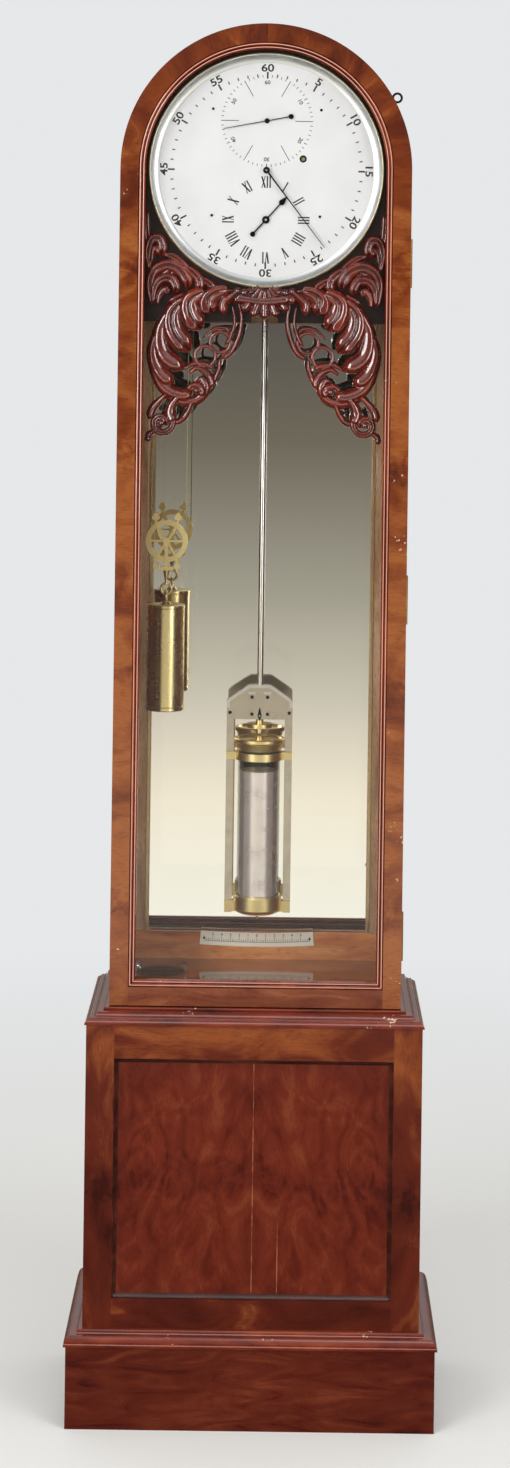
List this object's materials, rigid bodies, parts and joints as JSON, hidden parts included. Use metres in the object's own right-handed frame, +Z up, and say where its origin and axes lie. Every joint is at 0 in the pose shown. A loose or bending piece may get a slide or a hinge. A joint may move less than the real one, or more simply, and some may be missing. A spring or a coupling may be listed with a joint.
{
  "type": "longcase regulator clock",
  "caption": "Arched longcase regulator with a glazed hinged door, mirror back, silvered dial, weight on a pulley and a mercury-jar pendulum.",
  "frame": {"origin": "on the floor, at the middle of the plinth moulding's footprint", "axes": "+Z up, the front with its door and dial faces -Y, +X is the hinge side, on the right seen from the front"},
  "size_m": [0.481, 0.2686, 1.815],
  "materials": {
    "mahogany": "French-polished mahogany, orange brown with a straight grain",
    "dark_mahogany": "dark stained and polished mahogany",
    "mirror": "silvered mirror plate",
    "glass": "clear glass",
    "silvered_brass": "frosted silvered brass",
    "brass": "polished and lacquered brass",
    "steel": "polished steel",
    "blued_steel": "blued steel, almost black",
    "mercury": "liquid mercury",
    "gut": "pale yellow gut line"
  },
  "bodies": {
    "case": {"plinth_boards": "dark_mahogany", "plinth_moulding": "dark_mahogany", "base_sides": "mahogany", "base_frame": "mahogany", "base_panel": "mahogany", "base_bead": "mahogany", "shoulder_moulding": "mahogany", "trunk_sides": "mahogany", "trunk_arch": "mahogany", "trunk_floor": "mahogany", "backboard": "dark_mahogany", "mirror_glass": "mirror", "mirror_border": "mahogany", "beat_rail": "mahogany", "beat_scale": "silvered_brass", "glass_dish": "glass", "wall_eye": "steel", "mask_board": "dark_mahogany", "apron": "dark_mahogany", "dial": "silvered_brass", "bezel": "silvered_brass", "brass_screws": "brass", "movement_plates": "brass", "pillars": "brass", "seatboard": "mahogany", "suspension_cock": "brass", "line_anchor": "brass", "line_lead": "gut", "gut_line": "gut", "case_hinges": "brass"},
    "door": {"door_stiles": "mahogany", "door_rail": "mahogany", "door_arch": "mahogany", "door_moulding": "mahogany", "door_glass": "glass", "door_hinges": "brass", "door_catch": "brass"},
    "minute_arbor": {"centre_wheel": "brass", "minute_hand": "blued_steel"},
    "third_arbor": {"third_wheel": "brass"},
    "escape_arbor": {"escape_wheel": "brass", "seconds_hand": "blued_steel"},
    "great_arbor": {"great_wheel": "brass"},
    "winding_barrel": {"barrel": "brass"},
    "motion_arbor": {"motion_wheel": "brass"},
    "hour_arbor": {"hour_wheel": "brass", "hour_hand": "blued_steel"},
    "pallet_arbor": {"pallets": "steel"},
    "guide": {"guide_pulley": "brass"},
    "pendulum": {"pendulum_rod": "steel", "pendulum_frame": "steel", "jar_lid": "brass", "glass_jar": "glass", "mercury": "mercury", "jar_cup": "brass"},
    "rating_nut": {"rating_disc": "brass"},
    "driving_weight": {"weight": "brass", "pulley_stirrup": "brass", "line_bight": "gut"},
    "weight_pulley": {"pulley_wheel": "brass"}
  },
  "joints": [
    {"name": "door_hinge", "type": "hinge", "parent": "case", "child": "door", "pos_m": [0.1902, -0.06155, 1.1], "axis": [0, 0, 1], "range_deg": [0, 110]},
    {"name": "minute_turn", "type": "hinge", "parent": "case", "child": "minute_arbor", "pos_m": [0, 0, 1.625], "axis": [0, 1, 0], "continuous": true},
    {"name": "third_turn", "type": "hinge", "parent": "case", "child": "third_arbor", "pos_m": [-0.01063, 0, 1.65939], "axis": [0, 1, 0], "continuous": true},
    {"name": "second_turn", "type": "hinge", "parent": "case", "child": "escape_arbor", "pos_m": [0, 0, 1.69], "axis": [0, 1, 0], "continuous": true},
    {"name": "great_turn", "type": "hinge", "parent": "case", "child": "great_arbor", "pos_m": [0.048, 0, 1.6406], "axis": [0, 1, 0], "continuous": true},
    {"name": "barrel_wind", "type": "hinge", "parent": "great_arbor", "child": "winding_barrel", "pos_m": [0.048, 0, 1.6406], "axis": [0, 1, 0], "range_deg": [-2540, 2710]},
    {"name": "motion_turn", "type": "hinge", "parent": "case", "child": "motion_arbor", "pos_m": [0.01959, 0, 1.59197], "axis": [0, 1, 0], "continuous": true},
    {"name": "hour_turn", "type": "hinge", "parent": "case", "child": "hour_arbor", "pos_m": [0, 0, 1.56], "axis": [0, 1, 0], "continuous": true},
    {"name": "pendulum_swing", "type": "hinge", "parent": "case", "child": "pendulum", "pos_m": [0, 0.06525, 1.726], "axis": [0, 1, 0], "range_deg": [-2, 2]},
    {"name": "pallet_rock", "type": "hinge", "parent": "case", "child": "pallet_arbor", "pos_m": [0, 0.06525, 1.726], "axis": [0, 1, 0], "range_deg": [-2, 2]},
    {"name": "rating_turn", "type": "hinge", "parent": "pendulum", "child": "rating_nut", "pos_m": [0, 0.06525, 0.885], "axis": [0, 0, 1], "range_deg": [-180, 180]},
    {"name": "weight_drop", "type": "slide", "parent": "case", "child": "driving_weight", "axis": [0, 0, 1], "range_m": [-0.3, 0.32], "deforming": ["gut_line"]},
    {"name": "weight_pulley_spin", "type": "hinge", "parent": "driving_weight", "child": "weight_pulley", "pos_m": [-0.127, 0.01725, 1.131], "axis": [0, 1, 0], "range_deg": [-740, 700]},
    {"name": "guide_pulley_spin", "type": "hinge", "parent": "case", "child": "guide", "pos_m": [-0.0871, 0.01725, 1.6399], "axis": [0, 1, 0], "range_deg": [-2420, 2580]}
  ],
  "couplings": [
    {"joint": "third_turn", "follows": "minute_turn", "ratio": -8},
    {"joint": "second_turn", "follows": "minute_turn", "ratio": 60},
    {"joint": "great_turn", "follows": "minute_turn", "ratio": -0.083333},
    {"joint": "motion_turn", "follows": "minute_turn", "ratio": -0.33333},
    {"joint": "hour_turn", "follows": "minute_turn", "ratio": 0.083333},
    {"joint": "pallet_rock", "follows": "pendulum_swing", "ratio": 1},
    {"joint": "weight_pulley_spin", "follows": "weight_drop", "rad_per_m": -39.216},
    {"joint": "guide_pulley_spin", "follows": "weight_drop", "rad_per_m": 138.89},
    {"joint": "barrel_wind", "follows": "weight_drop", "rad_per_m": 145.99}
  ]
}
